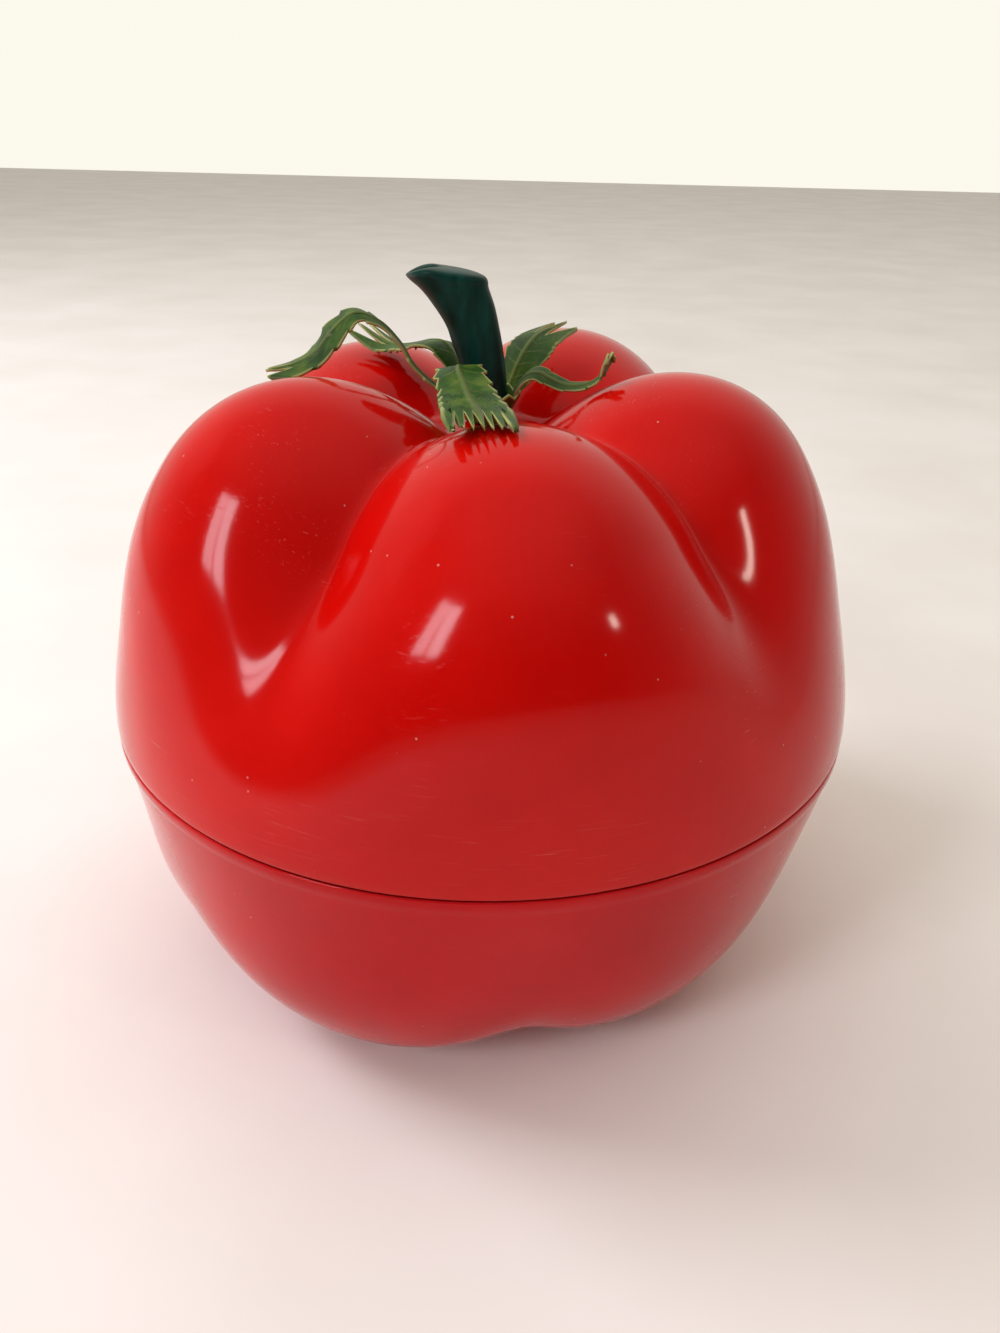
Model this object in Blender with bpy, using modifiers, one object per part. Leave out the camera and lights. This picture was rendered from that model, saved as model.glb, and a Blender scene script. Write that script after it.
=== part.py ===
"""A lidded tomato container: a lobed lid and base, each a hard shell over foam and a white liner.

The lid lifts straight off a round lip that stands up from the tub. A horn-shaped stem, screwed on from
inside the lid through a whorl of leaves, is the handle. The origin is on the table, on the axis.
"""
import math

import bmesh
import bpy
import numpy as np
from mathutils import Vector

# Driving sizes, in metres.
SEAM_RADIUS = 0.090
LID_HEIGHT = 0.0778
BASE_DEPTH = 0.0682
SHELL_WALL = 0.0025
LINER_WALL = 0.0022
SEAM_GAP = 0.0004
RIM_LAND = 0.002
FIT_GAP = 0.0003
FOAM_GAP = 0.0006

# The tub and the lid's inner dome.
LINER_INSET = 0.014
TUB_FLOOR_RADIUS = 0.058
TUB_CORNER = 0.012
FLOOR_FOAM = 0.0135
CROWN_FOAM = 0.014
LIP_HEIGHT = 0.004
LIP_GAP = 0.0009
FLANGE_GAP = 0.0013

# The stem, its screw and the hub of the leaves.
STEM_FOOT = 0.0046
SCREW_RADIUS = 0.0015
SCREW_GRIP = 0.012
HEAD_RADIUS = 0.0032
HEAD_HEIGHT = 0.0022
WASHER_RADIUS = 0.005
WASHER_THICKNESS = 0.0008
POCKET_RADIUS = 0.007
HUB_HEIGHT = 0.0065
HUB_WALL = 0.003
LEAF_THICKNESS = 0.0009

# Heights that follow from the sizes above. The seam is the plane where lid and base meet.
SEAM = BASE_DEPTH
LID_RIM = SEAM + SEAM_GAP / 2
BASE_RIM = SEAM - SEAM_GAP / 2
CAVITY_RADIUS = SEAM_RADIUS - LINER_INSET
INNER_WALL = SEAM_RADIUS - SHELL_WALL

# The lobed forms, in seam radii. A lobe is an ellipsoid that leans in or out, set round the axis.
# Lobes: azimuth in degrees, size across, height, width. The tallest lid lobe rises to "extent", and
# the base's lobes are flattened where they reach "extent" below the seam.
LID_FORM = {
    "lobes": [(-80, 1.04, 0.96, 1.06), (-12, 0.95, 1.02, 1.0), (64, 1.0, 1.02, 1.0),
              (132, 1.0, 0.98, 1.04), (212, 1.0, 1.02, 0.9)],
    "offset": 0.38, "rise": 0.19, "reach": 0.51, "width": 0.475, "height": 0.68, "lean": -22,
    "core": 0.715, "fade": 41, "flare": 0.0, "swell": 0.36, "crease": 0.01, "extent": 0.865,
}
BASE_FORM = {
    "lobes": [(-116, 1.0, 0.985, 1.0), (-47, 0.94, 1.02, 1.0), (33, 1.0, 1.0, 1.0),
              (105, 1.0, 1.0, 1.0), (183, 1.045, 1.01, 1.0)],
    "offset": 0.60, "rise": 0.28, "reach": 0.38, "width": 0.535, "height": 0.495, "lean": 7.5,
    "core": 0.66, "fade": 53, "flare": -0.13, "swell": 0.41, "crease": 0.02, "extent": 0.758,
}
SOFT_CREASE = 0.06
CREASE_TURN = 50
LID_STRETCH = LID_HEIGHT / LID_FORM["extent"]
BASE_STRETCH = BASE_DEPTH / BASE_FORM["extent"]
WELL = LID_RIM + LID_FORM["core"] * LID_STRETCH
UNDERSIDE = BASE_RIM - BASE_FORM["core"] * BASE_STRETCH

# Leaves: half width, then the points that the middle of the blade runs through, as x, y and height
# above the lid's well.
LEAVES = {
    "left": (0.0042, [(-0.006, -0.001, 0.0055), (-0.014, -0.002, 0.009), (-0.020, -0.003, 0.017),
                      (-0.0285, -0.004, 0.0232), (-0.035, -0.005, 0.017), (-0.040, -0.0056, 0.0135),
                      (-0.049, -0.0068, 0.0125)]),
    "back_left": (0.0048, [(-0.005, 0.004, 0.0055), (-0.0088, 0.0072, 0.0128), (-0.013, 0.011, 0.0149),
                           (-0.021, 0.0175, 0.0125), (-0.0265, 0.022, 0.0128), (-0.033, 0.0275, 0.016)]),
    "front": (0.0062, [(-0.003, -0.0055, 0.0055), (-0.0058, -0.0095, 0.0135), (-0.0055, -0.017, 0.0145),
                       (-0.003, -0.029, 0.0122), (-0.0005, -0.041, 0.0120), (0.0005, -0.048, 0.0118)]),
    "right": (0.0036, [(0.0062, -0.001, 0.0055), (0.0105, -0.0022, 0.0105), (0.0148, -0.003, 0.0092),
                       (0.0200, -0.0042, 0.0080), (0.0245, -0.0053, 0.0104), (0.0260, -0.0056, 0.0140),
                       (0.0272, -0.0057, 0.0170)]),
    "back_right": (0.0060, [(0.0042, 0.0048, 0.0055), (0.0069, 0.0082, 0.0105), (0.0095, 0.0112, 0.0145),
                            (0.0128, 0.015, 0.0168), (0.0185, 0.0215, 0.0178)]),
}

# The stem's sections: middle x, half width, half depth, height above the lid's well.
STEM_SECTIONS = [(0.0, STEM_FOOT, STEM_FOOT, FIT_GAP), (-0.0002, STEM_FOOT, STEM_FOOT, 0.0060),
                 (-0.0008, 0.0049, 0.0047, 0.0110), (-0.0024, 0.0056, 0.0051, 0.0165),
                 (-0.0055, 0.0073, 0.0058, 0.0245), (-0.0080, 0.0086, 0.0063, 0.0290),
                 (-0.0092, 0.0086, 0.0064, 0.0310), (-0.0104, 0.0072, 0.0052, 0.0328),
                 (-0.0112, 0.0038, 0.0030, 0.0337)]

SKIN_SIDES = 50
LID_ROWS = 14
BASE_ROWS = 12
TURNED_SIDES = 48


def ease(share):
    """Goes smoothly from 0 to 1 as share does, and stays there."""
    share = np.clip(share, 0.0, 1.0)
    return share * share * (3 - 2 * share)


def lobe_reach(azimuth, elevation, form, lobe):
    """How far a line from the middle of the seam runs before it leaves one lobe, or 0 where it misses."""
    turn = azimuth - math.radians(lobe[0])
    size, tall, wide = lobe[1:]
    line = np.stack([np.cos(elevation) * np.cos(turn), np.cos(elevation) * np.sin(turn), np.sin(elevation)])
    half = np.array([form["reach"] * size, form["width"] * wide, form["height"] * tall])
    cos, sin = math.cos(math.radians(form["lean"])), math.sin(math.radians(form["lean"]))
    leaned = np.array([[cos, 0, sin], [0, 1, 0], [-sin, 0, cos]]) / half[:, None]
    centre = leaned @ np.array([form["offset"] * size, 0, form["rise"] * tall])
    line = np.tensordot(leaned, line, 1)
    square = (line * line).sum(0)
    along = np.tensordot(centre, line, 1)
    inside = along * along - square * (centre @ centre - 1)
    return np.where(inside > 0, (along + np.sqrt(np.maximum(inside, 0))) / square, 0)


def skin_reach(azimuth, elevation, form):
    """The form's distance from the middle of the seam: a circle at the seam, and lobes round a core above."""
    parts = [np.full(azimuth.shape, form["core"])]
    parts += [lobe_reach(azimuth, elevation, form, lobe) for lobe in form["lobes"]]
    parts = np.stack(parts)
    crease = SOFT_CREASE + (form["crease"] - SOFT_CREASE) * ease(elevation / math.radians(CREASE_TURN))
    farthest = parts.max(0)
    lobed = farthest + crease * np.log(np.exp((parts - farthest) / crease).sum(0))
    plain = 1 + form["flare"] * elevation + form["swell"] * elevation**2
    return plain + (lobed - plain) * ease(elevation / math.radians(form["fade"]))


def columns(form, sides):
    """Azimuths in radians, the same number from each groove to the next."""
    middles = sorted(lobe[0] % 360 for lobe in form["lobes"])
    count = len(middles)
    middles.append(middles[0] + 360)
    grooves = [(low + high) / 2 for low, high in zip(middles, middles[1:])]
    grooves.append(grooves[0] + 360)
    shares = np.arange(sides // count) / (sides // count)
    return np.radians(np.concatenate([low + (high - low) * shares for low, high in zip(grooves, grooves[1:])]))


def elevations(rows):
    """The skin's rows above its land, in radians."""
    first = math.asin(RIM_LAND / SEAM_RADIUS) * 3
    return first + (math.pi / 2 - first) * np.arange(rows) / rows


def groove_radius(form, stretch, rows, height):
    """The least radius of the skin at a height above the seam, read along the facets it is made of."""
    azimuth, elevation = np.meshgrid(columns(form, SKIN_SIDES), elevations(rows))
    reach = skin_reach(azimuth, elevation, form)
    radius = SEAM_RADIUS * reach * np.cos(elevation)
    level = reach * np.sin(elevation) * stretch
    return min(np.interp(height, level[:, i], radius[:, i]) for i in range(level.shape[1]))


def flatten_feet(bm):
    """Cuts off what is below the table and closes each cut with a flat face."""
    everything = list(bm.verts) + list(bm.edges) + list(bm.faces)
    bmesh.ops.bisect_plane(bm, geom=everything, plane_co=(0, 0, 0), plane_no=(0, 0, 1), clear_inner=True)
    cut = [edge for edge in bm.edges if edge.is_boundary and all(abs(v.co.z) < FIT_GAP for v in edge.verts)]
    bmesh.ops.holes_fill(bm, edges=cut, sides=0)
    bm.normal_update()
    for face in bm.faces:
        if all(abs(v.co.z) < 1e-7 for v in face.verts) and face.normal.z > 0:
            face.normal_flip()


def skin_mesh(form, stretch, rim, rows):
    """The open outer skin, from the rim to the pole, as a bmesh. A negative stretch hangs it below the rim."""
    around = columns(form, SKIN_SIDES)
    azimuth, elevation = np.meshgrid(around, elevations(rows))
    reach = skin_reach(azimuth, elevation, form)
    radius = SEAM_RADIUS * reach * np.cos(elevation)
    height = reach * np.sin(elevation) * stretch
    land = math.copysign(RIM_LAND, stretch)
    radius = np.vstack([np.full((2, len(around)), SEAM_RADIUS), radius])
    height = np.vstack([np.zeros(len(around)), np.full(len(around), land), height])
    bm = bmesh.new()
    grid = [[bm.verts.new((r * math.cos(a), r * math.sin(a), rim + h)) for r, h, a in zip(ring, level, around)]
            for ring, level in zip(radius, height)]
    pole = bm.verts.new((0, 0, rim + form["core"] * stretch))
    for i in range(SKIN_SIDES):
        j = (i + 1) % SKIN_SIDES
        for lower, upper in zip(grid, grid[1:]):
            bm.faces.new((lower[i], lower[j], upper[j], upper[i]))
        bm.faces.new((grid[-1][i], grid[-1][j], pole))
    if stretch < 0:
        bmesh.ops.reverse_faces(bm, faces=bm.faces)
        flatten_feet(bm)
    bmesh.ops.triangulate(bm, faces=bm.faces)
    return bm


def material(name, colour, roughness, metallic=0.0):
    made = bpy.data.materials.new(name)
    made.use_nodes = True
    shader = made.node_tree.nodes["Principled BSDF"]
    shader.inputs["Base Color"].default_value = (*colour, 1)
    shader.inputs["Roughness"].default_value = roughness
    shader.inputs["Metallic"].default_value = metallic
    return made


def place(name, mesh, finish):
    """Makes a sub-part of a mesh, or a cutter where it has no finish."""
    obj = bpy.data.objects.new(name, mesh)
    (CUTTERS if finish is None else PARTS).objects.link(obj)
    if finish is None:
        obj.hide_render = True
        obj.display_type = "WIRE"
    else:
        mesh.materials.append(finish)
    return obj


def from_bmesh(name, bm, finish=None):
    mesh = bpy.data.meshes.new(name)
    bm.to_mesh(mesh)
    bm.free()
    mesh.shade_smooth()
    mesh.set_sharp_from_angle(angle=math.radians(35))
    return place(name, mesh, finish)


def turned(name, profile, finish=None, sides=TURNED_SIDES, closed=False):
    """A profile of (radius, height) points turned round the axis; its outer side runs down."""
    mesh = bpy.data.meshes.new(name)
    count = len(profile)
    edges = [(i, i + 1) for i in range(count - 1)] + ([(count - 1, 0)] if closed else [])
    mesh.from_pydata([(radius, 0, height) for radius, height in profile], edges, [])
    obj = place(name, mesh, finish)
    screw = obj.modifiers.new("turn", "SCREW")
    screw.axis = "Z"
    screw.steps = sides
    screw.render_steps = sides
    screw.use_merge_vertices = True
    screw.merge_threshold = 0.00001
    return obj


def cut(obj, cutter):
    boolean = obj.modifiers.new("cut " + cutter.name, "BOOLEAN")
    boolean.operation = "DIFFERENCE"
    boolean.object = cutter


def rod(name, radius, low, high, sides=24, finish=None):
    return turned(name, [(0, high), (radius, high), (radius, low), (0, low)], finish, sides)


def bow(radius, rise, steps=7):
    """The quarter ellipse from the axis at its full rise out to the radius."""
    angles = [math.radians(90 * i / steps) for i in range(steps + 1)]
    return [(radius * math.sin(a), rise * math.cos(a)) for a in angles]


def shell(name, form, stretch, rim, rows, finish):
    bm = skin_mesh(form, stretch, rim, rows)
    obj = from_bmesh(name, bm, finish)
    wall = obj.modifiers.new("wall", "SOLIDIFY")
    wall.thickness = SHELL_WALL
    wall.offset = -1
    return obj


def foam(name, form, stretch, rim, rows, liner, finish):
    """Fills the space inside a shell, down to the liner, whose outside is the cutter."""
    bm = skin_mesh(form, stretch, rim, rows)
    bm.normal_update()
    for vertex in bm.verts:
        vertex.co -= vertex.normal * (SHELL_WALL + FOAM_GAP)
    bmesh.ops.holes_fill(bm, edges=[edge for edge in bm.edges if edge.is_boundary], sides=0)
    bmesh.ops.recalc_face_normals(bm, faces=bm.faces)
    obj = from_bmesh(name, bm, finish)
    cut(obj, liner)
    return obj


def tub_profile():
    """Inner floor, corner and wall, over the lip, then down the outside. Heights are from the seam."""
    depth = BASE_RIM - UNDERSIDE - SHELL_WALL - FLOOR_FOAM - LINER_WALL
    corner_x = TUB_FLOOR_RADIUS - TUB_CORNER
    turns = [math.radians(90 * i / 4) for i in range(5)]
    inside = [(corner_x + TUB_CORNER * math.sin(a), TUB_CORNER * (1 - math.cos(a)) - depth) for a in turns]
    outer = TUB_CORNER + LINER_WALL
    outside = [(corner_x + outer * math.sin(a), TUB_CORNER - outer * math.cos(a) - depth)
               for a in reversed(turns)]
    lip = INNER_WALL - LIP_GAP
    ledge = -0.001
    under = ledge - LINER_WALL
    inner_lip = lip - LINER_WALL
    top = [(CAVITY_RADIUS, ledge), (inner_lip, ledge), (inner_lip, LIP_HEIGHT), (lip, LIP_HEIGHT),
           (lip, under), (CAVITY_RADIUS + LINER_WALL, under)]
    points = [(0, -depth)] + inside + top + outside + [(0, -depth - LINER_WALL)]
    return [(radius, SEAM + height) for radius, height in points], under


def dome_profile():
    """Down the outside of the lid's inner dome, round its flange and back up the inside."""
    flange = SEAM + LIP_HEIGHT + FOAM_GAP
    crown = WELL - SHELL_WALL - CROWN_FOAM - flange
    outside = [(r, flange + h) for r, h in bow(CAVITY_RADIUS + LINER_WALL, crown)]
    inside = [(r, flange + h) for r, h in bow(CAVITY_RADIUS, crown - LINER_WALL)]
    top = flange + LINER_WALL
    groove = groove_radius(LID_FORM, LID_STRETCH, LID_ROWS, top - LID_RIM)
    edge = min(groove, SEAM_RADIUS) - SHELL_WALL - FLANGE_GAP
    outside[-1] = (CAVITY_RADIUS + LINER_WALL, top)
    return outside, [(edge, top), (edge, flange)] + inside[::-1], top


def spaced(profile, gap):
    """The profile of the space that a turned liner takes up, a gap larger than its outside."""
    return [(radius + gap if radius > 0 else 0, height) for radius, height in profile]


def smooth_path(points, each):
    """Points along a smooth curve through the given ones."""
    points = [Vector(p) for p in points]
    padded = [2 * points[0] - points[1]] + points + [2 * points[-1] - points[-2]]
    path = []
    for a, b, c, d in zip(padded, padded[1:], padded[2:], padded[3:]):
        for i in range(each):
            t = i / each
            square = 2 * a - 5 * b + 4 * c - d
            cube = 3 * b - a - 3 * c + d
            path.append(0.5 * (2 * b + (c - a) * t + square * t**2 + cube * t**3))
    return path + [points[-1]]


def loft(name, rings, finish=None):
    """Joins rings of equal counts with faces and closes both ends."""
    bm = bmesh.new()
    made = [[bm.verts.new(point) for point in ring] for ring in rings]
    count = len(made[0])
    for lower, upper in zip(made, made[1:]):
        for i in range(count):
            j = (i + 1) % count
            bm.faces.new((lower[i], lower[j], upper[j], upper[i]))
    bm.faces.new(made[0][::-1])
    bm.faces.new(made[-1])
    bmesh.ops.recalc_face_normals(bm, faces=bm.faces)
    return from_bmesh(name, bm, finish)


def leaf(name, half_width, points):
    """A plain ribbon: narrow at the root, full past the middle and blunt at the tip."""
    path = smooth_path([(x, y, WELL + z) for x, y, z in points], 3)
    rings = []
    for i, point in enumerate(path):
        along = (path[min(i + 1, len(path) - 1)] - path[max(i - 1, 0)]).normalized()
        across = along.cross(Vector((0, 0, 1))).normalized()
        up = across.cross(along) * (LEAF_THICKNESS / 2)
        share = i / (len(path) - 1)
        side = across * half_width * (0.4 + 0.6 * math.sin(math.pi * (0.12 + 0.72 * share)))
        rings.append([point - side - up, point + side - up, point + side + up, point - side + up])
    return loft(name, rings)


def make_lid():
    lid = shell("lid_shell", LID_FORM, LID_STRETCH, LID_RIM, LID_ROWS, RED)
    cut(lid, rod("screw hole", SCREW_RADIUS + FIT_GAP, WELL - 4 * SHELL_WALL, WELL + SHELL_WALL))
    outside, rest, flange_top = dome_profile()
    turned("lid_liner", outside + rest, WHITE)
    crown = [(r, h + FOAM_GAP) for r, h in spaced(outside, FOAM_GAP)]
    below = SEAM - BASE_DEPTH / 2
    rim = [(2 * SEAM_RADIUS, flange_top + FOAM_GAP), (2 * SEAM_RADIUS, below), (0, below)]
    room = turned("dome room", crown + rim)
    packing = foam("lid_insulation", LID_FORM, LID_STRETCH, LID_RIM, LID_ROWS, room, FOAM)
    floor = WELL - SHELL_WALL - WASHER_THICKNESS - HEAD_HEIGHT - 3 * FIT_GAP
    cut(packing, rod("screw pocket", POCKET_RADIUS, floor - FOAM_GAP, WELL + SHELL_WALL))


def make_base():
    shell("base_shell", BASE_FORM, -BASE_STRETCH, BASE_RIM, BASE_ROWS, RED)
    profile, under = tub_profile()
    turned("base_liner", profile, WHITE)
    outside = profile[profile.index((CAVITY_RADIUS + LINER_WALL, SEAM + under)) + 1:]
    body = [(r, h - FOAM_GAP) for r, h in spaced(outside, FOAM_GAP)]
    above = SEAM + BASE_DEPTH / 2
    top = SEAM + under - FOAM_GAP
    wall = CAVITY_RADIUS + LINER_WALL + FOAM_GAP
    rim = [(0, above), (2 * SEAM_RADIUS, above), (2 * SEAM_RADIUS, top), (wall, top)]
    room = turned("tub room", rim + body)
    foam("base_insulation", BASE_FORM, -BASE_STRETCH, BASE_RIM, BASE_ROWS, room, FOAM)


def make_stem():
    sides = 20
    turns = [2 * math.pi * i / sides for i in range(sides)]
    rings = [[(x + wide * math.cos(a), deep * math.sin(a), WELL + up) for a in turns]
             for x, wide, deep, up in STEM_SECTIONS]
    stem = loft("stem", rings, GREEN)
    cut(stem, rod("screw bore", SCREW_RADIUS + FIT_GAP, WELL - SCREW_GRIP, WELL + SCREW_GRIP + FIT_GAP))


def make_calyx():
    inner = STEM_FOOT + FIT_GAP
    low = WELL + FIT_GAP
    top = low + HUB_HEIGHT
    hub = turned("calyx", [(inner, top), (inner + HUB_WALL, top), (inner + HUB_WALL / 2, low), (inner, low)],
                 LEAF_GREEN, 32, closed=True)
    for name, (half_width, points) in LEAVES.items():
        joined = hub.modifiers.new(name, "BOOLEAN")
        joined.operation = "UNION"
        joined.object = leaf(name + " leaf", half_width, points)
    core = rod("stem room", inner, low - FIT_GAP, WELL + STEM_SECTIONS[2][3])
    cut(hub, core)


def make_fastening():
    under = WELL - SHELL_WALL - FIT_GAP
    bore = SCREW_RADIUS + FIT_GAP
    washer_low = under - WASHER_THICKNESS
    ring = [(bore, under), (WASHER_RADIUS, under), (WASHER_RADIUS, washer_low), (bore, washer_low)]
    turned("stem_washer", ring, STEEL, 32, closed=True)
    head_top = washer_low - FIT_GAP
    head_low = head_top - HEAD_HEIGHT
    tip = WELL + SCREW_GRIP - FIT_GAP
    shank = [(0, tip), (SCREW_RADIUS * 0.4, tip), (SCREW_RADIUS, tip - SCREW_RADIUS), (SCREW_RADIUS, head_top)]
    head = [(HEAD_RADIUS, head_top), (HEAD_RADIUS, head_low + HEAD_HEIGHT / 3), (HEAD_RADIUS * 0.8, head_low)]
    profile = shank + head + [(0, head_low)]
    turned("stem_screw", profile, STEEL, 24)


for old in list(bpy.data.objects):
    bpy.data.objects.remove(old, do_unlink=True)
PARTS = bpy.data.collections.new("tomato container")
CUTTERS = bpy.data.collections.new("cutters")
bpy.context.scene.collection.children.link(PARTS)
bpy.context.scene.collection.children.link(CUTTERS)

RED = material("red plastic", (0.55, 0.012, 0.010), 0.12)
WHITE = material("white plastic", (0.85, 0.84, 0.80), 0.30)
FOAM = material("expanded polystyrene", (0.92, 0.92, 0.90), 0.85)
GREEN = material("dark green plastic", (0.010, 0.060, 0.050), 0.35)
LEAF_GREEN = material("leaf green plastic", (0.045, 0.085, 0.020), 0.55)
STEEL = material("zinc plated steel", (0.62, 0.62, 0.60), 0.35, 1.0)

make_lid()
make_base()
make_stem()
make_calyx()
make_fastening()
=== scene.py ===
"""The lidded tomato container as it looks: glossy red skins, white liners, a dark horn and toothed leaves."""
import math

import bmesh
import bpy
import numpy as np
from mathutils import Matrix, Vector


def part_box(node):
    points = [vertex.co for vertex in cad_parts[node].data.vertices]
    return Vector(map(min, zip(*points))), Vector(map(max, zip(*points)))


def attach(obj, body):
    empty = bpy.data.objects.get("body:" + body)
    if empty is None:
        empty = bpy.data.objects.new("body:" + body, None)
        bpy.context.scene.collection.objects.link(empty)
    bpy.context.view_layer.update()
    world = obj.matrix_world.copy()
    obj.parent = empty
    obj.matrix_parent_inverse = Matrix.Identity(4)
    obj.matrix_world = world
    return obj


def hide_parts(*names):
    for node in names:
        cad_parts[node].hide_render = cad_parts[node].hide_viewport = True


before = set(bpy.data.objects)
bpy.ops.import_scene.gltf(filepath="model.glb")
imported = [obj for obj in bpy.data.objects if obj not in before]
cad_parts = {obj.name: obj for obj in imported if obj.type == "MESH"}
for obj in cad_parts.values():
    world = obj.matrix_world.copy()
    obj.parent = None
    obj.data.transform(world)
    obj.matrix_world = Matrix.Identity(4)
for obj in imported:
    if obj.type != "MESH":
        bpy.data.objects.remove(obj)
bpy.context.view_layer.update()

# Sizes repeated from the CAD source, in metres.
SEAM_RADIUS = 0.090
LID_HEIGHT = 0.0778
BASE_DEPTH = 0.0682
SHELL_WALL = 0.0025
LINER_WALL = 0.0022
SEAM_GAP = 0.0004
RIM_LAND = 0.002
FIT_GAP = 0.0003
FOAM_GAP = 0.0006
CAVITY_RADIUS = SEAM_RADIUS - 0.014
INNER_WALL = SEAM_RADIUS - SHELL_WALL
TUB_FLOOR_RADIUS = 0.058
TUB_CORNER = 0.012
FLOOR_FOAM = 0.0135
CROWN_FOAM = 0.014
LIP_HEIGHT = 0.004
LIP_GAP = 0.0009
STEM_FOOT = 0.0046
SCREW_RADIUS = 0.0015
SEAM = BASE_DEPTH
LID_RIM = SEAM + SEAM_GAP / 2
BASE_RIM = SEAM - SEAM_GAP / 2

LID_FORM = {
    "lobes": [(-80, 1.04, 0.96, 1.06), (-12, 0.95, 1.02, 1.0), (64, 1.0, 1.02, 1.0),
              (132, 1.0, 0.98, 1.04), (212, 1.0, 1.02, 0.9)],
    "offset": 0.38, "rise": 0.19, "reach": 0.51, "width": 0.475, "height": 0.68, "lean": -22,
    "core": 0.715, "fade": 41, "flare": 0.0, "swell": 0.36, "crease": 0.01, "extent": 0.865,
}
BASE_FORM = {
    "lobes": [(-116, 1.0, 0.985, 1.0), (-47, 0.94, 1.02, 1.0), (33, 1.0, 1.0, 1.0),
              (105, 1.0, 1.0, 1.0), (183, 1.045, 1.01, 1.0)],
    "offset": 0.60, "rise": 0.28, "reach": 0.38, "width": 0.535, "height": 0.495, "lean": 7.5,
    "core": 0.66, "fade": 53, "flare": -0.13, "swell": 0.41, "crease": 0.02, "extent": 0.758,
}
SOFT_CREASE = 0.06
CREASE_TURN = 50
LID_STRETCH = LID_HEIGHT / LID_FORM["extent"]
BASE_STRETCH = BASE_DEPTH / BASE_FORM["extent"]
WELL = LID_RIM + LID_FORM["core"] * LID_STRETCH
UNDERSIDE = BASE_RIM - BASE_FORM["core"] * BASE_STRETCH


def ease(share):
    share = np.clip(share, 0.0, 1.0)
    return share * share * (3 - 2 * share)


# ---------------------------------------------------------------- materials
# Patterns are laid in metres, so a feature of a noise or cell texture is about 1000 / Scale mm across.

def colour(code):
    """An sRGB hex code as a linear RGBA colour."""
    parts = [int(code[i:i + 2], 16) / 255 for i in (1, 3, 5)]
    return (*[c / 12.92 if c <= 0.04045 else ((c + 0.055) / 1.055)**2.4 for c in parts], 1)


def add(tree, kind, inputs=None, **settings):
    """Adds a node. Inputs are values or other sockets, by name or number; ramp is a list of (place, hex)."""
    made = tree.nodes.new("ShaderNode" + kind)
    for name, value in settings.items():
        if name == "ramp":
            stops = made.color_ramp.elements
            while len(stops) < len(value):
                stops.new(0.5)
            for stop, (at, code) in zip(stops, value):
                stop.position = at
                stop.color = colour(code)
        else:
            setattr(made, name, value)
    for name, value in (inputs or {}).items():
        if isinstance(value, bpy.types.NodeSocket):
            tree.links.new(value, made.inputs[name])
        else:
            made.inputs[name].default_value = value
    return made


def new_material(name, **shader):
    made = bpy.data.materials.new(name)
    made.use_nodes = True
    principled = made.node_tree.nodes["Principled BSDF"]
    for socket, value in shader.items():
        principled.inputs[socket.replace("_", " ")].default_value = value
    return made, made.node_tree, principled


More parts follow.
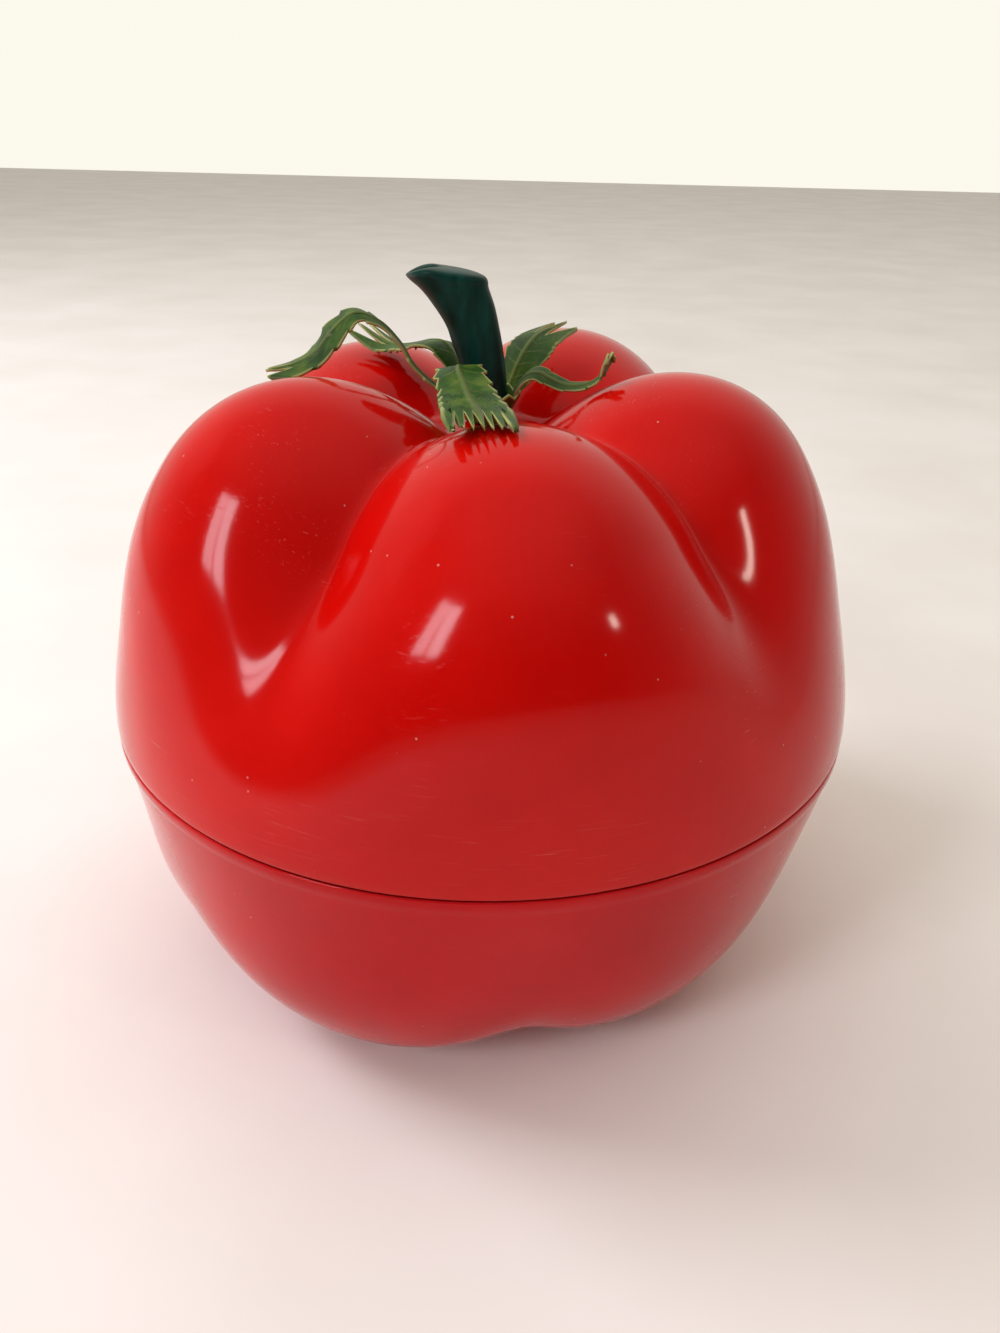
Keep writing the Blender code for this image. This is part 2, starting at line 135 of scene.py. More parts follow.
def red_plastic(name, deep, mid, light, dust, mirror):
    """Injection-moulded styrene: a hard gloss, faint flow colour, fine wiping scratches, dust specks.

    Its reflection is set below clear styrene's, so that the pale floor doesn't wash the red out.
    """
    made, tree, shader = new_material(name, IOR=1.38, Specular_IOR_Level=mirror)
    place = add(tree, "TexCoord").outputs["Object"]
    flow = add(tree, "TexNoise", {"Vector": place, "Scale": 26.0, "Detail": 4.0, "Roughness": 0.55})
    tones = [(0.28, deep), (0.5, mid), (0.74, light)]
    body = add(tree, "ValToRGB", {"Fac": flow.outputs["Fac"]}, ramp=tones)
    # scratches run round the axis, as a cloth wipes: noise in radius, height and a slow turn, which makes
    # them about 0.6 mm apart and 13 mm long at the seam, in worn patches of about 24 mm
    axes = add(tree, "SeparateXYZ", {0: place})
    turn = add(tree, "Math", {0: axes.outputs["Y"], 1: axes.outputs["X"]}, operation="ARCTAN2")
    level = add(tree, "CombineXYZ", {0: axes.outputs["X"], 1: axes.outputs["Y"]})
    length = add(tree, "VectorMath", {0: level.outputs[0]}, operation="LENGTH")
    slow = add(tree, "Math", {0: turn.outputs[0], 1: 0.004}, operation="MULTIPLY")
    polar = add(tree, "CombineXYZ", {0: length.outputs["Value"], 1: axes.outputs["Z"], 2: slow.outputs[0]})
    hair = add(tree, "TexNoise", {"Vector": polar.outputs[0], "Scale": 1700.0, "Detail": 2.0})
    line = add(tree, "MapRange", {"Value": hair.outputs["Fac"], "From Min": 0.62, "From Max": 0.72})
    worn = add(tree, "TexNoise", {"Vector": place, "Scale": 42.0, "Detail": 3.0})
    patch = add(tree, "MapRange", {"Value": worn.outputs["Fac"], "From Min": 0.5, "From Max": 0.66})
    scratch = add(tree, "Math", {0: line.outputs[0], 1: patch.outputs[0]}, operation="MULTIPLY")
    # dust: bright grains up to half a millimetre across, in about one of twelve 3.2 mm cells
    cells = add(tree, "TexVoronoi", {"Vector": place, "Scale": 310.0})
    grain = add(tree, "MapRange", {"Value": cells.outputs["Distance"], "From Min": 0.085, "From Max": 0.05})
    chosen = add(tree, "SeparateColor", {0: cells.outputs["Color"]})
    few = add(tree, "MapRange", {"Value": chosen.outputs[0], "From Min": 0.90, "From Max": 0.93})
    speck = add(tree, "Math", {0: grain.outputs[0], 1: few.outputs[0]}, operation="MULTIPLY")
    both = add(tree, "Math", {0: speck.outputs[0], 1: dust}, operation="MULTIPLY")
    dusted = add(tree, "Mix", {0: both.outputs[0], 6: body.outputs[0], 7: colour("#d9a79c")},
                 data_type="RGBA")
    faint = add(tree, "Math", {0: scratch.outputs[0], 1: 0.22}, operation="MULTIPLY")
    rubbed = add(tree, "Mix", {0: faint.outputs[0], 6: dusted.outputs[2], 7: colour("#d8605a")},
                 data_type="RGBA")
    tree.links.new(rubbed.outputs[2], shader.inputs["Base Color"])
    rough = add(tree, "MapRange", {"Value": scratch.outputs[0], "To Min": 0.11, "To Max": 0.32})
    tree.links.new(rough.outputs[0], shader.inputs["Roughness"])
    # shrinkage waves of about 18 mm, barely there, that make a straight reflection wander
    wave = add(tree, "TexNoise", {"Vector": place, "Scale": 55.0, "Detail": 1.0})
    swell = add(tree, "Bump", {"Height": wave.outputs["Fac"], "Strength": 0.10, "Distance": 0.0006})
    nick = add(tree, "Bump", {"Height": scratch.outputs[0], "Strength": 0.10, "Distance": 0.00005,
                              "Normal": swell.outputs[0]})
    tree.links.new(nick.outputs[0], shader.inputs["Normal"])
    return made


def liner_plastic():
    """Satin white moulding with faint warm clouds of about 33 mm and stir marks of about 1 mm."""
    made, tree, shader = new_material("satin white plastic", IOR=1.49, Subsurface_Weight=0.08,
                                      Subsurface_Scale=0.002)
    place = add(tree, "TexCoord").outputs["Object"]
    cloud = add(tree, "TexNoise", {"Vector": place, "Scale": 30.0, "Detail": 5.0})
    body = add(tree, "ValToRGB", {"Fac": cloud.outputs["Fac"]}, ramp=[(0.3, "#e6e1d4"), (0.7, "#f3f0e7")])
    tree.links.new(body.outputs[0], shader.inputs["Base Color"])
    fine = add(tree, "TexNoise", {"Vector": place, "Scale": 900.0, "Detail": 2.0})
    rough = add(tree, "MapRange", {"Value": fine.outputs["Fac"], "To Min": 0.24, "To Max": 0.42})
    tree.links.new(rough.outputs[0], shader.inputs["Roughness"])
    bump = add(tree, "Bump", {"Height": fine.outputs["Fac"], "Strength": 0.12, "Distance": 0.0001})
    tree.links.new(bump.outputs[0], shader.inputs["Normal"])
    return made


def bead_foam():
    """Expanded polystyrene: 3 mm beads pressed together, with dark hairlines between them."""
    made, tree, shader = new_material("expanded polystyrene beads", Roughness=0.85)
    place = add(tree, "TexCoord").outputs["Object"]
    beads = add(tree, "TexVoronoi", {"Vector": place, "Scale": 330.0}, feature="DISTANCE_TO_EDGE")
    body = add(tree, "ValToRGB", {"Fac": beads.outputs["Distance"]},
               ramp=[(0.0, "#c9c6bd"), (0.09, "#f2f1ec")])
    tree.links.new(body.outputs[0], shader.inputs["Base Color"])
    bump = add(tree, "Bump", {"Height": beads.outputs["Distance"], "Strength": 0.6, "Distance": 0.0006})
    tree.links.new(bump.outputs[0], shader.inputs["Normal"])
    return made


def horn_plastic():
    """Satin dark teal moulding, with pigment streaks about 4 mm wide and 14 mm long up its length."""
    made, tree, shader = new_material("satin teal plastic", IOR=1.40, Specular_IOR_Level=0.22)
    place = add(tree, "TexCoord").outputs["Object"]
    tall = add(tree, "Mapping", {"Vector": place, "Scale": (1.0, 1.0, 0.3)})
    streak = add(tree, "TexNoise", {"Vector": tall.outputs[0], "Scale": 230.0, "Detail": 6.0,
                                    "Roughness": 0.6})
    body = add(tree, "ValToRGB", {"Fac": streak.outputs["Fac"]},
               ramp=[(0.3, "#03211b"), (0.52, "#04342c"), (0.75, "#0a4a41")])
    tree.links.new(body.outputs[0], shader.inputs["Base Color"])
    rough = add(tree, "MapRange", {"Value": streak.outputs["Fac"], "To Min": 0.26, "To Max": 0.48})
    tree.links.new(rough.outputs[0], shader.inputs["Roughness"])
    bump = add(tree, "Bump", {"Height": streak.outputs["Fac"], "Strength": 0.25, "Distance": 0.0003})
    tree.links.new(bump.outputs[0], shader.inputs["Normal"])
    return made


def leaf_plastic():
    """Soft vinyl leaf: dark olive blade mottled at about 5 mm, pale yellow-green edge, raised veins."""
    made, tree, shader = new_material("olive vinyl leaf", IOR=1.42)
    place = add(tree, "TexCoord").outputs["Object"]
    cloud = add(tree, "TexNoise", {"Vector": place, "Scale": 210.0, "Detail": 5.0})
    body = add(tree, "ValToRGB", {"Fac": cloud.outputs["Fac"]},
               ramp=[(0.3, "#1b370a"), (0.5, "#2d4f10"), (0.72, "#546a1e")])
    edge = add(tree, "Attribute", attribute_name="edge")
    vein = add(tree, "Attribute", attribute_name="vein")
    soft_vein = add(tree, "Math", {0: vein.outputs["Fac"], 1: 0.55}, operation="MULTIPLY")
    veined = add(tree, "Mix", {0: soft_vein.outputs[0], 6: body.outputs[0], 7: colour("#6f7638")},
                 data_type="RGBA")
    pale = add(tree, "MapRange", {"Value": edge.outputs["Fac"], "From Min": 0.93, "From Max": 1.0})
    rimmed = add(tree, "Mix", {0: pale.outputs[0], 6: veined.outputs[2], 7: colour("#a9ab68")},
                 data_type="RGBA")
    tree.links.new(rimmed.outputs[2], shader.inputs["Base Color"])
    rough = add(tree, "MapRange", {"Value": cloud.outputs["Fac"], "To Min": 0.30, "To Max": 0.62})
    tree.links.new(rough.outputs[0], shader.inputs["Roughness"])
    ribs = add(tree, "Bump", {"Height": vein.outputs["Fac"], "Strength": 0.5, "Distance": 0.0004})
    grain = add(tree, "Bump", {"Height": cloud.outputs["Fac"], "Strength": 0.3, "Distance": 0.0002,
                               "Normal": ribs.outputs[0]})
    tree.links.new(grain.outputs[0], shader.inputs["Normal"])
    return made


def zinc_plate():
    """Bright zinc plating: grey metal with 0.7 mm crystal patches of differing gloss."""
    made, tree, shader = new_material("zinc plated steel", Metallic=1.0)
    place = add(tree, "TexCoord").outputs["Object"]
    crystal = add(tree, "TexVoronoi", {"Vector": place, "Scale": 1400.0})
    tone = add(tree, "ValToRGB", {"Fac": crystal.outputs["Color"]}, ramp=[(0.0, "#8f9291"), (1.0, "#c4c6c3")])
    tree.links.new(tone.outputs[0], shader.inputs["Base Color"])
    rough = add(tree, "MapRange", {"Value": crystal.outputs["Distance"], "To Min": 0.22, "To Max": 0.45})
    tree.links.new(rough.outputs[0], shader.inputs["Roughness"])
    return made


def table_paint():
    """Pale matt table top, its tone very slightly uneven over about 110 mm."""
    made, tree, shader = new_material("pale table", Roughness=0.62)
    place = add(tree, "TexCoord").outputs["Object"]
    cloud = add(tree, "TexNoise", {"Vector": place, "Scale": 9.0, "Detail": 4.0})
    body = add(tree, "ValToRGB", {"Fac": cloud.outputs["Fac"]}, ramp=[(0.3, "#ece5e0"), (0.7, "#f4efeb")])
    tree.links.new(body.outputs[0], shader.inputs["Base Color"])
    return made


# ---------------------------------------------------------------- shapes

def lobe_reach(azimuth, elevation, form, lobe):
    """How far a line from the middle of the seam runs before it leaves one lobe, or 0 where it misses."""
    turn = azimuth - math.radians(lobe[0])
    size, tall, wide = lobe[1:]
    line = np.stack([np.cos(elevation) * np.cos(turn), np.cos(elevation) * np.sin(turn), np.sin(elevation)])
    half = np.array([form["reach"] * size, form["width"] * wide, form["height"] * tall])
    cos, sin = math.cos(math.radians(form["lean"])), math.sin(math.radians(form["lean"]))
    leaned = np.array([[cos, 0, sin], [0, 1, 0], [-sin, 0, cos]]) / half[:, None]
    centre = leaned @ np.array([form["offset"] * size, 0, form["rise"] * tall])
    line = np.tensordot(leaned, line, 1)
    square = (line * line).sum(0)
    along = np.tensordot(centre, line, 1)
    inside = along * along - square * (centre @ centre - 1)
    return np.where(inside > 0, (along + np.sqrt(np.maximum(inside, 0))) / square, 0)


def skin_reach(azimuth, elevation, form):
    parts = [np.full(azimuth.shape, form["core"])]
    parts += [lobe_reach(azimuth, elevation, form, lobe) for lobe in form["lobes"]]
    parts = np.stack(parts)
    crease = SOFT_CREASE + (form["crease"] - SOFT_CREASE) * ease(elevation / math.radians(CREASE_TURN))
    farthest = parts.max(0)
    lobed = farthest + crease * np.log(np.exp((parts - farthest) / crease).sum(0))
    plain = 1 + form["flare"] * elevation + form["swell"] * elevation**2
    return plain + (lobed - plain) * ease(elevation / math.radians(form["fade"]))


def mesh_piece(name, points, faces, finish, body, replaced, values=None):
    """Makes a smooth piece that rides on a body and stands for a CAD node."""
    mesh = bpy.data.meshes.new(name)
    mesh.from_pydata([tuple(p) for p in points], [], faces)
    for key, numbers in (values or {}).items():
        mesh.attributes.new(key, "FLOAT", "POINT").data.foreach_set("value", np.asarray(numbers, float))
    mesh.materials.append(finish)
    mesh.shade_smooth()
    piece = bpy.data.objects.new(name, mesh)
    bpy.context.scene.collection.objects.link(piece)
    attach(piece, body)
    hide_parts(replaced)
    return piece


def grid_faces(rows, around, closed=True):
    """Quads between rows of points, joined round where closed."""
    count = around if closed else around - 1
    return [(r * around + i, r * around + (i + 1) % around, (r + 1) * around + (i + 1) % around,
             (r + 1) * around + i) for r in range(rows - 1) for i in range(count)]


def thicken(piece, wall):
    solid = piece.modifiers.new("wall", "SOLIDIFY")
    solid.thickness = wall
    solid.offset = -1
    return piece


EDGE_ROUND = 0.00045
SKIN_COLUMNS = 400
SKIN_ROWS = 140
CORNER_ROUND = 0.0006


def skin(name, form, stretch, rim, finish, body, replaced, hole):
    """A fine lobed skin with a rounded rim; it is open at the pole where a screw passes, otherwise closed."""
    around, rows = SKIN_COLUMNS, SKIN_ROWS
    azimuths = np.linspace(0, 2 * math.pi, around, endpoint=False)
    first = math.asin(RIM_LAND / SEAM_RADIUS) * 1.6
    top = math.pi / 2 - (hole or 0.0006) / (form["core"] * SEAM_RADIUS)
    up = first + (top - first) * np.linspace(0, 1, rows)
    azimuth, elevation = np.meshgrid(azimuths, up)
    reach = skin_reach(azimuth, elevation, form)
    radius = SEAM_RADIUS * reach * np.cos(elevation)
    height = reach * np.sin(elevation) * stretch
    side = math.copysign(1, stretch)
    bends = np.radians([0, 22, 45, 67, 90])
    lead_r = [SEAM_RADIUS - EDGE_ROUND * (1 - math.sin(b)) for b in bends] + [SEAM_RADIUS]
    lead_z = [side * EDGE_ROUND * (1 - math.cos(b)) for b in bends] + [side * RIM_LAND]
    radius = np.vstack([np.full(around, r) for r in lead_r] + [radius])
    height = np.vstack([np.full(around, z) for z in lead_z] + [height])
    total = len(radius)
    z = np.maximum(rim + height, 0.0)
    points = np.stack([radius * np.cos(azimuths), radius * np.sin(azimuths), z], -1).reshape(-1, 3)
    faces = grid_faces(total, around)
    if not hole:
        faces.append(tuple((total - 1) * around + i for i in range(around)))
    if stretch < 0:
        faces = [face[::-1] for face in faces]
    return thicken(mesh_piece(name, points, faces, finish, body, replaced), SHELL_WALL)


def rounded(profile, radius, steps=4):
    """The profile with each sharp corner turned into a small arc."""
    out = []
    for i, point in enumerate(profile):
        here = Vector(point)
        before, after = Vector(profile[i - 1]) - here, Vector(profile[(i + 1) % len(profile)]) - here
        if (min(before.length, after.length) < 1e-6 or here.x < 1e-6
                or before.angle(after) > math.radians(150)):
            out.append(tuple(here))
            continue
        reach = min(radius, before.length * 0.45, after.length * 0.45)
        start, end = here + before.normalized() * reach, here + after.normalized() * reach
        for step in range(steps + 1):
            t = step / steps
            out.append(tuple(start * (1 - t)**2 + here * 2 * t * (1 - t) + end * t**2))
    return out


def lathe(name, profile, finish, body, replaced, sides=160):
    """A profile of (radius, height) points turned round the axis, from one point on the axis to another."""
    profile = [(max(r, 0.00002), h) for r, h in profile]
    turns = np.linspace(0, 2 * math.pi, sides, endpoint=False)
    points = [(r * math.cos(a), r * math.sin(a), h) for r, h in profile for a in turns]
    faces = grid_faces(len(profile), sides)
    faces += [tuple(range(sides))[::-1], tuple((len(profile) - 1) * sides + i for i in range(sides))]
    piece = mesh_piece(name, points, faces, finish, body, replaced)
    bm = bmesh.new()
    bm.from_mesh(piece.data)
    bmesh.ops.recalc_face_normals(bm, faces=bm.faces)
    bm.to_mesh(piece.data)
    bm.free()
    return piece


def tub_profile():
    depth = BASE_RIM - UNDERSIDE - SHELL_WALL - FLOOR_FOAM - LINER_WALL
    corner = TUB_FLOOR_RADIUS - TUB_CORNER
    turns = [math.radians(90 * i / 12) for i in range(13)]
    inside = [(corner + TUB_CORNER * math.sin(a), TUB_CORNER * (1 - math.cos(a)) - depth) for a in turns]
    outer = TUB_CORNER + LINER_WALL
    outside = [(corner + outer * math.sin(a), TUB_CORNER - outer * math.cos(a) - depth)
               for a in reversed(turns)]
    lip = INNER_WALL - LIP_GAP
    ledge = -0.001
    under = ledge - LINER_WALL
    inner_lip = lip - LINER_WALL
    top = [(CAVITY_RADIUS, ledge), (inner_lip, ledge), (inner_lip, LIP_HEIGHT), (lip, LIP_HEIGHT),
           (lip, under), (CAVITY_RADIUS + LINER_WALL, under)]
    points = [(0, -depth)] + inside + top + outside + [(0, -depth - LINER_WALL)]
    return rounded([(r, SEAM + h) for r, h in points], CORNER_ROUND)


def dome_profile():
    flange = SEAM + LIP_HEIGHT + FOAM_GAP
    crown = WELL - SHELL_WALL - CROWN_FOAM - flange
    turns = [math.radians(90 * i / 28) for i in range(29)]
    outer, inner = CAVITY_RADIUS + LINER_WALL, crown - LINER_WALL
    outside = [(outer * math.sin(a), flange + crown * math.cos(a)) for a in turns]
    inside = [(CAVITY_RADIUS * math.sin(a), flange + inner * math.cos(a)) for a in turns]
    top = flange + LINER_WALL
    outside = [p for p in outside if p[1] > top] + [(outer, top)]
    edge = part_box("lid_liner")[1][0]
    return rounded(outside + [(edge, top), (edge, flange)] + inside[::-1], CORNER_ROUND)


# The horn, in millimetres: height above the well, middle, half width, half depth, and slope of the section.
HORN = [(0.3, 0, 4.6, 4.6, 0), (6, 0, 4.6, 4.6, 0), (8, -0.5, 4.9, 4.6, 0), (11.7, -1.1, 5.1, 4.6, 0),
        (16.6, -2.35, 5.65, 4.7, 0), (20.8, -3.55, 6.05, 4.9, -0.04), (25.4, -5.65, 7.15, 5.4, -0.09),
        (28, -7.15, 7.85, 5.8, -0.12), (30, -8.5, 8.5, 6.1, -0.12), (31.0, -9.0, 8.9, 6.3, -0.12),
        (31.8, -9.3, 8.9, 6.2, -0.12), (32.3, -9.5, 8.3, 5.7, -0.12), (32.6, -9.8, 6.9, 4.7, -0.12),
        (32.8, -10.2, 4.4, 3.0, -0.12), (32.85, -10.4, 0.6, 0.4, -0.12)]
HORN_CORNER = 2.6
HORN_TURN = 20
HORN_DROOP = 4.0


def smooth_path(points, each):
    """Points along a smooth curve through the given ones, of any number of dimensions."""
    p = np.asarray(points, float)
    p = np.vstack([2 * p[0] - p[1], p, 2 * p[-1] - p[-2]])
    path = []
    for a, b, c, d in zip(p, p[1:], p[2:], p[3:]):
        for t in np.arange(each) / each:
            square, cube = 2 * a - 5 * b + 4 * c - d, 3 * b - a - 3 * c + d
            path.append(0.5 * (2 * b + (c - a) * t + square * t**2 + cube * t**3))
    return np.array(path + [p[-2]])


def horn(finish):
    sections = smooth_path(HORN, 6)
    around = 72
    turns = np.linspace(0, 2 * math.pi, around, endpoint=False)
    cos, sin = np.cos(turns), np.sin(turns)
    squared = (np.abs(cos)**HORN_CORNER + np.abs(sin)**HORN_CORNER)**(-1 / HORN_CORNER)
    twist = math.radians(HORN_TURN)
    points = []
    for up, middle, wide, deep, slope in sections:
        blend = ease((up - 6) / 8)
        scale = 1 + (squared - 1) * blend
        x, y = cos * scale, sin * scale
        x, y = x * math.cos(twist) - y * math.sin(twist), x * math.sin(twist) + y * math.cos(twist)
        x, y = x / (1 + 0.06 * blend) * wide, y / (1 + 0.06 * blend) * deep
        droop = HORN_DROOP * blend * np.maximum(-x / wide - 0.35, 0)**2 * (up / 31)**6
        points += [((middle + px) / 1000, py / 1000, WELL + (up + slope * px - low) / 1000)
                   for px, py, low in zip(x, y, droop)]
    faces = grid_faces(len(sections), around)
    faces += [tuple(range(around))[::-1], tuple((len(sections) - 1) * around + i for i in range(around))]
    return mesh_piece("stem_horn", points, faces, finish, "lid", "stem")


# Leaves: path as x, y and height above the well in millimetres; half widths along it; how many side
# teeth and their depth; how many fingers the tip has and their length; cup and twist of the blade.
LEAVES = {
    "left": dict(path=[(-5.4, -1, 4), (-9, -1.4, 6), (-13.5, -1.9, 9), (-17, -2.4, 12.6), (-19.6, -2.8, 17),
                       (-23.7, -3.3, 21.3), (-28.7, -4, 23.1), (-33.3, -4.7, 19.8), (-37, -5.2, 15.3),
                       (-42, -5.9, 12.4), (-48.3, -6.8, 10.9)],
                 wide=[1.6, 1.0, 0.95, 0.95, 1.0, 1.4, 2.3, 3.2, 3.4, 3.8, 3.4], teeth=9, tooth=1.2,
                 fingers=3, finger=5.0, cup=-0.9, twist=[0, 0, 0, 0, 0, -6, -20, -30, -20, -10, -8]),
    "back_left": dict(path=[(-4.4, 3.6, 4), (-7.2, 6.1, 11), (-9.9, 8.3, 14.8), (-13.1, 11, 15),
                            (-17.1, 14.3, 13.6), (-20.7, 17.4, 12.6), (-25.3, 21.2, 12.4),
                            (-32.8, 27.5, 15.5)],
                      wide=[2.2, 3.2, 4.4, 4.9, 4.3, 2.6, 3.6, 5.0], teeth=8, tooth=0.7, fingers=3,
                      finger=7.5, cup=-1.0, twist=[0, 0, 4, 6, 4, 0, -4, -6]),
    "front": dict(path=[(-2.6, -4.8, 4), (-4.6, -7.4, 9.5), (-5.9, -10.4, 13.7), (-5.5, -17, 13.8),
                        (-4.1, -23, 12.2), (-3, -29, 11.4), (-1.4, -36, 11.1), (0.6, -49, 10.5)],
                  wide=[2.2, 2.7, 3.6, 4.4, 4.8, 5.2, 5.9, 6.3], teeth=9, tooth=1.2, fingers=7,
                  finger=7.0, cup=-0.25, twist=[0, 0, 5, 8, 6, 3, 0, 0]),
    "right": dict(path=[(5.3, -0.9, 4.5), (8.2, -1.7, 9.6), (11, -2.3, 11.2), (14.2, -3, 10),
                        (17.5, -3.7, 8.9), (21.5, -4.6, 9.2), (24.8, -5.3, 11), (26, -5.5, 14),
                        (27, -5.7, 16.8)],
                  wide=[1.8, 2.0, 2.1, 1.8, 1.6, 1.7, 2.1, 2.6, 2.9], teeth=6, tooth=0.45, fingers=2,
                  finger=3.0, cup=-0.5, twist=[0, 12, 24, 30, 22, 10, 0, -8, -12]),
    "back_right": dict(path=[(3.7, 4.3, 4), (5.6, 6.6, 7.5), (7.2, 8.6, 11.2), (9.4, 11.2, 14.6),
                             (12.3, 14.7, 16.7), (18.4, 21.8, 17.9)],
                       wide=[2.4, 3.6, 4.8, 5.4, 4.6, 4.9], teeth=7, tooth=0.8, fingers=3, finger=6.5,
                       cup=-1.1, twist=[0, 0, 2, 4, 4, 2]),
}
LEAF_WALL = 0.0006
BLADE_STATIONS = 150
BLADE_ACROSS = 41


def blade(name, form, finish):
    """A toothed leaf along a path: jagged sides, a fingered tip, a cupped face and raised veins."""
    keys = np.column_stack([form["path"], form["wide"], form["twist"]])
    track = smooth_path(keys, 14)
    share = np.linspace(0, 1, len(track))
    u = np.linspace(-1, 1, BLADE_ACROSS)
    run = np.vstack([[0, 0, 0], np.cumsum(np.diff(track[:, :3], axis=0), 0)])
    length = np.linalg.norm(np.diff(track[:, :3], axis=0), axis=1).sum()
    outward = run[-1] * [1, 1, 0]
    flat = np.cross([0, 0, 1], outward / np.linalg.norm(outward))
    # the tip is cut back between its fingers and at its corners
    comb = np.abs(((u + 1) / 2 * form["fingers"]) % 1 - 0.5) * 2
    back = (form["finger"] / length) * comb
    back[0] = back[-1] = form["finger"] / length
    points, edge, vein = [], [], []
    for s in np.linspace(0, 1, BLADE_STATIONS):
        for place, cut_back in zip(u, back):
            at = s * (1 - cut_back * ease((s - 0.45) / 0.55))
            here = np.array([np.interp(at, share, track[:, k]) for k in range(5)])
            ahead = np.array([np.interp(min(at + 0.01, 1), share, track[:, k]) for k in range(3)])
            behind = np.array([np.interp(max(at - 0.01, 0), share, track[:, k]) for k in range(3)])
            along = (ahead - behind) / np.linalg.norm(ahead - behind)
            turn = math.radians(here[4])
            normal = np.cross(along, flat)
            side = flat * math.cos(turn) + normal * math.sin(turn)
            normal = np.cross(along, side)
            normal *= math.copysign(1, normal[2] if abs(normal[2]) > 0.05 else 1)
            saw = (s * form["teeth"]) % 1
            jag = form["tooth"] * saw * ease((s - 0.12) / 0.1) * abs(place)**3
            wide = here[3] + jag
            lift = form["cup"] * place**2 * min(here[3] / 4, 1) + 0.25 * math.exp(-(place / 0.10)**2)
            spot = here[:3] + side * place * wide + normal * lift
            points.append((spot[0] / 1000, spot[1] / 1000, WELL + spot[2] / 1000))
            near_tip = 1 - min((1 - s) * length / 2.2, 1)
            edge.append(max(abs(place), 0.75 + 0.25 * near_tip if near_tip > 0 else 0))
            ribs = abs(((s * form["teeth"]) - abs(place) * 0.8) % 1 - 0.5) < 0.08
            vein.append(max(math.exp(-(place / 0.07)**2), 0.7 * ribs * (1 - abs(place))))
    faces = grid_faces(BLADE_STATIONS, BLADE_ACROSS, closed=False)
    piece = mesh_piece("leaf_" + name, points, faces, finish, "lid", "calyx",
                       {"edge": edge, "vein": vein})
    return thicken(piece, LEAF_WALL)


def collar(finish):
    """The flaring band round the foot of the horn, with pointed teeth along its top."""
    around, rows = 176, 18
    turns = np.linspace(0, 2 * math.pi, around, endpoint=False)
    points, edge, vein = [], [], []
    for s in np.linspace(0, 1, rows):
        for a in turns:
            tooth = 1 - abs((a / (2 * math.pi) * 11) % 1 - 0.5) * 2
            up = 0.4 + (5.4 + 1.3 * tooth) * s
            out = STEM_FOOT * 1000 + 0.55 + 2.3 * s**1.6 + 0.25 * tooth * s
            points.append((out * math.cos(a) / 1000, out * math.sin(a) / 1000, WELL + up / 1000))
            edge.append(s)
            vein.append(tooth**6 * 0.7)
    return thicken(mesh_piece("leaf_collar", points, grid_faces(rows, around), finish, "lid",
                              "calyx", {"edge": edge, "vein": vein}), LEAF_WALL)


# ---------------------------------------------------------------- the object

RED_LID = red_plastic("glossy red styrene, lid", "#bd0502", "#c60703", "#cf0e07", 0.55, 0.34)
RED_BASE = red_plastic("glossy red styrene, base", "#b50a10", "#be0d13", "#c81519", 0.75, 0.22)
WHITE = liner_plastic()
OLIVE = leaf_plastic()

skin("lid_skin", LID_FORM, LID_STRETCH, LID_RIM, RED_LID, "lid", "lid_shell", SCREW_RADIUS + FIT_GAP)
skin("base_skin", BASE_FORM, -BASE_STRETCH, BASE_RIM, RED_BASE, "base", "base_shell", None)
lathe("tub_inner", tub_profile(), WHITE, "base", "base_liner")
lathe("dome_inner", dome_profile(), WHITE, "lid", "lid_liner")
horn(horn_plastic())
collar(OLIVE)
for leaf_name, leaf_form in LEAVES.items():
    blade(leaf_name, leaf_form, OLIVE)

BEADS, ZINC = bead_foam(), zinc_plate()
for node_name, kept in (("lid_insulation", BEADS), ("base_insulation", BEADS), ("stem_screw", ZINC),
                        ("stem_washer", ZINC)):
    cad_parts[node_name].data.materials.clear()
    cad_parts[node_name].data.materials.append(kept)

# ---------------------------------------------------------------- floor, light and camera

floor_mesh = bpy.data.meshes.new("floor")
floor_mesh.from_pydata([(-4, -4, 0), (4, -4, 0), (4, 4, 0), (-4, 4, 0)], [], [(0, 1, 2, 3)])
floor_mesh.materials.append(table_paint())
floor = bpy.data.objects.new("floor", floor_mesh)
bpy.context.scene.collection.objects.link(floor)

world = bpy.data.worlds.new("pale room")
world.use_nodes = True
bpy.context.scene.world = world


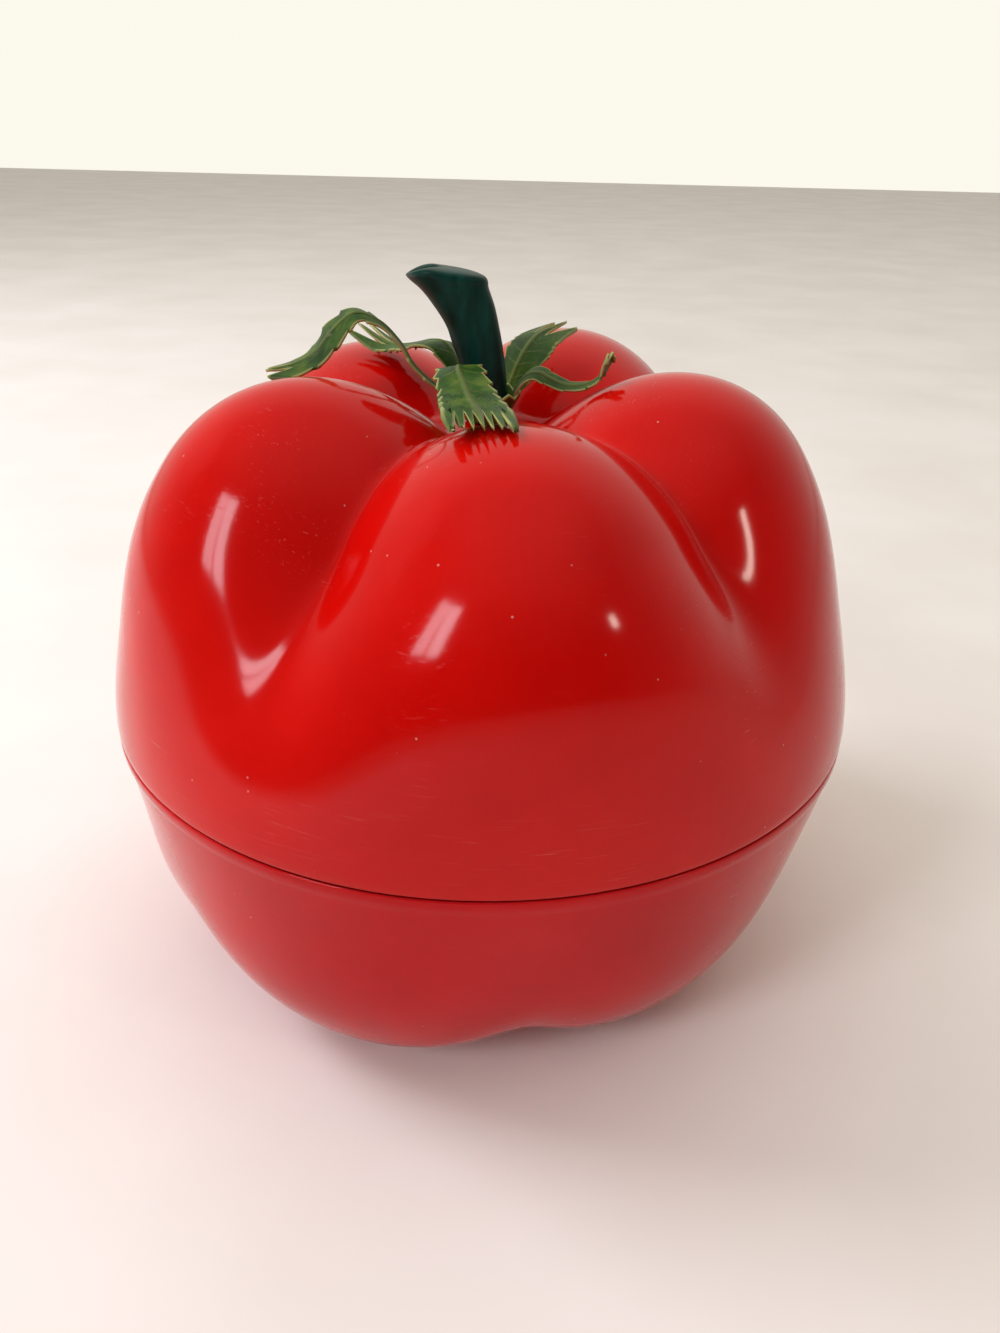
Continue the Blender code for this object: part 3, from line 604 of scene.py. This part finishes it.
def light_room(tree):
    """A pale room that lights the object from the back and overhead more than from the front.

    The camera itself sees one even pale tone in place of the gradient.
    """
    sky = tree.nodes["Background"]
    way = add(tree, "SeparateXYZ", {0: add(tree, "TexCoord").outputs["Generated"]})
    back = add(tree, "MapRange", {"Value": way.outputs["Y"], "From Min": -0.75, "From Max": 0.55})
    high = add(tree, "MapRange", {"Value": way.outputs["Z"], "From Min": 0.30, "From Max": 0.95,
                                  "To Max": 0.85})
    bright = add(tree, "Math", {0: back.outputs[0], 1: high.outputs[0]}, operation="MAXIMUM")
    seen = add(tree, "ValToRGB", {"Fac": bright.outputs[0]},
               ramp=[(0.0, "#5f5852"), (0.45, "#9a938b"), (1.0, "#fbf6ea")])
    pale = add(tree, "Mix", {0: add(tree, "LightPath").outputs["Is Camera Ray"], 6: seen.outputs[0],
                             7: (1.22, 1.18, 1.06, 1)}, data_type="RGBA")
    tree.links.new(pale.outputs[2], sky.inputs["Color"])
    sky.inputs["Strength"].default_value = 0.80


light_room(world.node_tree)


def area_light(name, azimuth, elevation, distance, width, height, power, tint, glossy=True):
    """A rectangular light that faces the middle of the object. It is mirrored in it where glossy."""
    light = bpy.data.lights.new(name, "AREA")
    light.shape = "RECTANGLE"
    light.size, light.size_y = width, height
    light.energy = power
    light.color = colour(tint)[:3]
    lamp = bpy.data.objects.new(name, light)
    turn, up = math.radians(azimuth), math.radians(elevation)
    middle = Vector((0, 0, SEAM + 0.02))
    away = Vector((math.cos(up) * math.cos(turn), math.cos(up) * math.sin(turn), math.sin(up)))
    lamp.location = middle + away * distance
    lamp.rotation_euler = away.to_track_quat("Z", "Y").to_euler()
    lamp.visible_camera = False
    lamp.visible_glossy = glossy
    bpy.context.scene.collection.objects.link(lamp)


area_light("window pane left", -139, 30, 1.1, 0.12, 0.36, 1.9, "#f4f7ff")
area_light("window pane right", -131, 30, 1.1, 0.12, 0.36, 2.2, "#f4f7ff")
area_light("small lamp right", -33, 27, 1.2, 0.07, 0.10, 0.7, "#fff3e4")
area_light("soft daylight from the left", 168, 38, 1.4, 0.55, 0.55, 11.0, "#f3f6ff", glossy=False)
area_light("ceiling bounce", 90, 80, 2.2, 3.0, 3.0, 14.0, "#fff8ee", glossy=False)

# The camera stands in front of the object, looks down on it and is rolled a little; both in degrees.
LOOKS_DOWN = 28.54
ROLL = 1.44
camera = bpy.data.cameras.new("camera")
camera.lens = 27.0
camera.sensor_width = 36.0
camera.clip_start = 0.01
eye = bpy.data.objects.new("camera", camera)
place = Matrix.Translation((0.0044, -0.2291, 0.1929))
pitch = Matrix.Rotation(math.radians(90 - LOOKS_DOWN), 4, "X")
eye.matrix_world = place @ pitch @ Matrix.Rotation(math.radians(ROLL), 4, "Z")
bpy.context.scene.collection.objects.link(eye)
bpy.context.scene.camera = eye
bpy.context.scene.view_settings.view_transform = "Standard"
